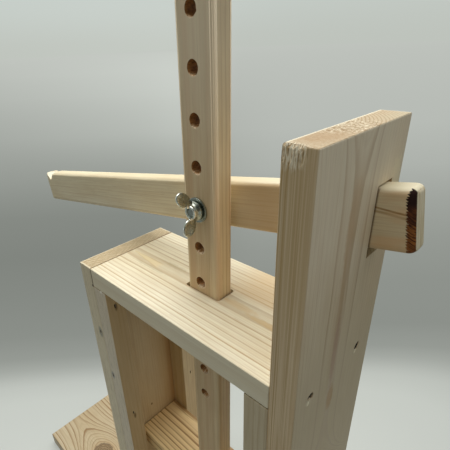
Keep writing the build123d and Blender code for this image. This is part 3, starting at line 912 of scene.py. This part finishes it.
def back_lath_finish(g, colour):
    """The face in the corner takes the warm light of the boards round it."""
    return g.paint(colour, (168, 130, 52), g.facing(FRONT), 0.55)


def dress(pieces, material):
    """Gives CAD nodes, by name, or other objects one material."""
    for piece in pieces:
        mesh = (nodes[piece] if isinstance(piece, str) else piece).data
        mesh.materials.clear()
        mesh.materials.append(material)


def dress_boards():
    """One material per board, each with its own place in a log."""
    dress(["base_board"], pine(
        "pine_base", ACROSS, (0, -42, 2), ring=5.0, seed=1, late=1.15, wander=3.0, uneven=1.2,
        tone=(0.74, 0.71, 0.67), late_tone=(0.82, 0.76, 0.70),
        knot=((-116.0, -40.0, BASE_TOP), (36.0, 33.0, 60.0), 32.0), finish=round_knot))
    dress(["left_panel"], pine(
        "pine_panel", UP, (-80, 60, 200), ring=2.6, seed=2, late=0.28, wander=2.0, finish=panel_finish,
        marks=(((-34.0, -6.0, 153.0), (1.6, 1.6, 2.2), (96, 60, 36), 0.95, 0.3),
               ((-38.0, -48.0, 286.0), (4.4, 3.0, 8.4), (20, 13, 5), 1.0, 0.3))))
    dress([worn_upright], pine(
        "pine_upright", UP, (112, -7, 300), ring=1.8, seed=3, late=1.25, wander=0.45, uneven=0.0,
        phase_shift=40.0 - 60.1 / 1.8, bow=(385.0, 108.0, 1.2), tone=(1.06, 1.04, 1.10),
        plan=((56.5, 0.3), (58.3, 0.85), (60.15, 0.75), (61.95, 0.10), (65.5, 0.22), (69.1, 0.25)),
        finish=upright_finish))
    dress(["top_board"], pine(
        "pine_top", ACROSS, (60, -3, 340), ring=3.4, seed=4, late=1.0, wander=0.7, uneven=0.5,
        tone=(1.06, 1.13, 1.24), finish=top_finish,
        marks=(((125.0, -6.6, TOP_FACE), (26.0, 3.2, 2.0), (206, 172, 112), 0.55, 0.5),
               ((96.0, -2.6, TOP_FACE), (20.0, 4.6, 2.0), (216, 182, 122), 0.45, 0.6))))
    dress(["batten_back_left"], pine(
        "pine_lath_back", UP, (-60, -90, 200), seed=5, late=0.40, tone=(1.08, 1.03, 0.95),
        finish=back_lath_finish))
    dress(["batten_front_left"], pine(
        "pine_lath_front", UP, (-60, -90, 200), seed=5, late=0.40, tone=(0.92, 0.90, 0.86),
        finish=lath_finish,
        marks=(((-22.6, -48.0, 338.6), (2.8, 2.0, 1.6), (252, 246, 226), 1.0, 0.5),
               ((-30.0, -48.0, 235.0), (3.8, 3.0, 6.4), (46, 37, 24), 0.95, 0.4),
               ((-18.5, -39.6, 321.4), (6.0, 2.2, 6.6), (26, 18, 8), 0.95, 0.3),
               ((-18.5, -39.4, 179.6), (6.0, 2.2, 6.0), (26, 18, 8), 0.95, 0.3))))
    dress(["batten_front_right", "batten_back_right"], pine(
        "pine_laths_right", UP, (190, -90, 200), seed=6, late=0.40, tone=(0.75, 0.74, 0.71)))
    dress(["platen"], pine(
        "pine_platen", ACROSS, (60, 25, 101.5), ring=3.6, seed=7, late=1.25, wander=0.7, uneven=0.3,
        phase_shift=20.0 - 30.8 / 3.6, tone=(1.28, 1.14, 0.90), late_tone=(0.66, 0.58, 0.50)))
    dress([worn_post], pine(
        "pine_post", POST_UP, (62, 42, 300), ring=3.8, seed=8, late=1.0, wander=0.8,
        tone=(1.0, 0.96, 0.91), finish=post_finish))
    dress([worn_lever], pine(
        "pine_lever", LEVER_OUT, (0, 60, 370), ring=2.4, seed=9, late=0.28,
        tone=(1.08, 1.12, 1.16), finish=lever_finish))


def dress_metal():
    zinc = metal("zinc", srgb(172, 178, 172), 0.14)
    dress([n for n in nodes if any(w in n for w in ("bolt", "washer", "nut", "screws"))], zinc)
    dress([cast_wing_nut], metal("cast_zinc", srgb(186, 190, 178), 0.2, painted_highlight=rim_highlights))
    dress([n for n in nodes if n.startswith(("brads", "nails"))], metal("dull_wire", srgb(26, 21, 15), 0.6))


dress_boards()
dress_metal()

# ------------------------------------------------------------------ floor, light and camera
# distance from the press in metres, grey level to the left, grey level to the right; the greys are painted
# light and shade on the paper
FLOOR_TONES = (
    (0.00, 208, 208), (0.10, 208, 208), (0.14, 204, 204), (0.17, 202, 202),
    (0.205, 192, 192), (0.235, 168, 168), (0.265, 152, 152), (0.33, 141, 142),
    (0.48, 135, 144), (0.66, 131, 150), (0.95, 136, 161), (1.40, 152, 176),
    (2.30, 168, 185), (4.60, 180, 188), (9.00, 187, 190), (30.0, 193, 193),
)
FLOOR_HALF = 30.0
FLOOR_CURVE = 0.3            # power that spreads the near distances over the tone table
FLOOR_STRETCH = 0.4          # the tones reach further to the sides than in depth
SWEEP_TURN = radians(45.65)  # the camera and the paper sweep share this heading
SWEEP_RIGHT = Vector((cos(SWEEP_TURN), sin(SWEEP_TURN), 0.0))
SWEEP_AWAY = Vector((-sin(SWEEP_TURN), cos(SWEEP_TURN), 0.0))
GLOW = 0.25
SKY_TOP = Vector((-0.02, 0.12, 0.95)).normalized()
SKY_LOW = 0.15
SKY_HIGH = 0.9
TENT_OPENING = Vector((0.62, -0.62, 0.25)).normalized()
CAMERA_PLACE = (0.2411, -0.1771, 0.5298)
CAMERA_PITCH = radians(26.68)
CAMERA_ROLL = radians(-2.53)


def floor_tones(g, run, side):
    """The paper's painted light and shade by distance; side is 0 to the left and 1 to the right."""
    steps = []
    for distance, *levels in FLOOR_TONES:
        level = levels[side]
        steps.append(((distance / FLOOR_HALF) ** FLOOR_CURVE, srgb(level - 2, level + 2, level - 4)))
    return g.table(run, steps)


def glow_gain(g, lean, share):
    """How much brighter the paper is in the painted soft glow left of the middle."""
    spot = g.times(g.ramp(lean, -0.50, -0.07, smooth=False), g.ramp(lean, 0.12, -0.04))
    return g.line(g.times(spot, share), GLOW, 1.0)


def backdrop_material():
    """Matte paper sweep: near white round the press, greyer further off and lighter again far away; these
    tones are painted light and shade, which the eye and reflections see glowing, more so away from the
    press.
    """
    material = bpy.data.materials.new("backdrop")
    g = Graph(material)
    place = g.coords["Object"]
    depth, width = g.dot(place, SWEEP_AWAY), g.dot(place, SWEEP_RIGHT * FLOOR_STRETCH)
    far = g.power(g.plus(*(g.power(g.absolute(way), 4.0) for way in (depth, width))), 0.25)
    run = g.power(g.math("DIVIDE", far, FLOOR_HALF), FLOOR_CURVE)
    lean = g.dot(g.vector("NORMALIZE", place), SWEEP_RIGHT)
    tones = g.mix(g.ramp(lean, -0.20, 0.32), floor_tones(g, run, 0), floor_tones(g, run, 1))
    share = g.times(g.ramp(run, 1.2, 0.6, smooth=False), g.ramp(run, 0.36, 0.48))
    tones = g.vector("SCALE", tones, scale=glow_gain(g, lean, share))
    path = g.node("ShaderNodeLightPath").outputs
    seen = g.math("ADD", path["Is Camera Ray"], path["Is Glossy Ray"], clamp=True)
    bounce = g.shader("BsdfDiffuse", Color=srgb(140, 143, 139))
    paper = g.shader("BsdfDiffuse", Color=tones)
    lit = g.mix_shader(g.ramp(far, 0.16, 0.30, 0.35, 1.0), paper, g.shader("Emission", Color=tones))
    g.show(g.mix_shader(seen, bounce, lit))
    return material


def add_floor():
    half = FLOOR_HALF
    mesh = bpy.data.meshes.new("floor")
    corners = [(-half, -half, 0), (half, -half, 0), (half, half, 0), (-half, half, 0)]
    mesh.from_pydata(corners, [], [(0, 1, 2, 3)])
    mesh.materials.append(backdrop_material())
    floor = add_object("floor", mesh)


def add_lamp():
    """Large soft disk overhead, a little behind and to the left."""
    light = bpy.data.lights.new("overhead", "AREA")
    light.shape = "DISK"
    light.size = 0.95
    light.energy = 8.0
    light.color = (1.0, 0.99, 0.97)
    lamp = add_object("overhead", light)
    lamp.location = (-0.24, 0.16, 1.22)
    aim = Vector((0.0, 0.0, 0.3)) - lamp.location
    lamp.rotation_euler = aim.to_track_quat("-Z", "Y").to_euler()


def add_world():
    """Soft light that comes mostly from above and a little from behind; the eye sees a pale wall."""
    scene.world = bpy.data.worlds.new("studio")
    g = Graph(scene.world)
    towards = g.coords["Generated"]
    lean, rise = g.dot(towards, SWEEP_RIGHT), g.split(towards)[2]
    lobe = g.most(g.dot(towards, SKY_TOP), 0.0)
    strength = g.line(g.times(lobe, lobe), SKY_HIGH, SKY_LOW)
    fill = g.shader("Background", Color=srgb(250, 252, 250), Strength=strength)
    wall = g.mix(g.ramp(rise, -0.02, 0.16), srgb(190, 195, 188), srgb(198, 206, 201))
    wall = g.paint(wall, (206, 214, 209), g.ramp(lean, 0.35, -0.25), g.ramp(rise, 0.0, 0.08), 0.25)
    wall = g.vector("SCALE", wall, scale=glow_gain(g, lean, g.ramp(rise, 0.0, 0.12, 0.333, 0.1)))
    path = g.node("ShaderNodeLightPath").outputs
    opening = g.times(g.ramp(g.dot(towards, TENT_OPENING), 0.35, 0.75), path["Is Glossy Ray"])
    seen = g.shader("Background", Color=g.paint(wall, (58, 60, 54), opening))
    visible = g.math("ADD", path["Is Camera Ray"], path["Is Glossy Ray"], clamp=True)
    g.show(g.mix_shader(visible, fill, seen), "ShaderNodeOutputWorld")


def add_camera():
    """Looks down on the press from its front right, close by."""
    level = cos(CAMERA_PITCH)
    forward = Vector((-sin(SWEEP_TURN) * level, cos(SWEEP_TURN) * level, -sin(CAMERA_PITCH)))
    level_right = forward.cross(Vector(UP)).normalized()
    level_up = level_right.cross(forward)
    right = level_right * cos(CAMERA_ROLL) + level_up * sin(CAMERA_ROLL)
    up = level_up * cos(CAMERA_ROLL) - level_right * sin(CAMERA_ROLL)
    data = bpy.data.cameras.new("camera")
    data.lens = 30.77
    data.sensor_width = 36.0
    data.shift_x = 0.0466
    data.shift_y = 0.0232
    data.clip_start = 0.01
    data.clip_end = 50.0
    camera = add_object("camera", data)
    turn = Matrix((right, up, -forward)).transposed().to_4x4()
    camera.matrix_world = Matrix.Translation(CAMERA_PLACE) @ turn
    scene.camera = camera


add_floor()
add_world()
add_lamp()
add_camera()
scene.view_settings.view_transform = "Standard"
